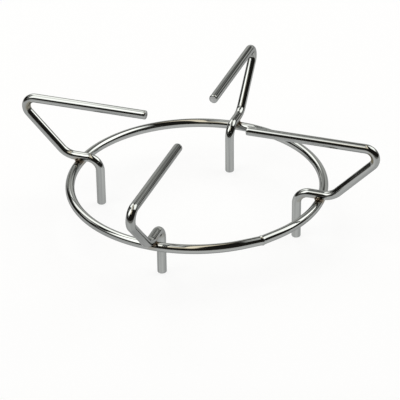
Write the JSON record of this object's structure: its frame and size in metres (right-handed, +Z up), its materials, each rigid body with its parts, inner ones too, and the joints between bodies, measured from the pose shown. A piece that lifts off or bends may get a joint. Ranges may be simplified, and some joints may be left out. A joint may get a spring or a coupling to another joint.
{
  "type": "hob pan support",
  "caption": "Chromed wire pan support for a gas hob: bent wire arms welded on a ring, with legs that plug into the hob and top runs that carry the pan.",
  "frame": {"origin": "on the ring's axis, in the plane of the leg ends", "axes": "+Z up along the ring's axis; the arms point along +X, +Y, -X and -Y; the ring's butt weld lies between +X and -Y"},
  "size_m": [0.2044, 0.2044, 0.063],
  "materials": {
    "chromed_wire": "bright chrome plate on drawn steel wire, brown heat tint at the welds"
  },
  "bodies": {
    "root": {"base_ring": "chromed_wire", "arm_right": "chromed_wire", "arm_back": "chromed_wire", "arm_left": "chromed_wire", "arm_front": "chromed_wire"}
  },
  "joints": []
}
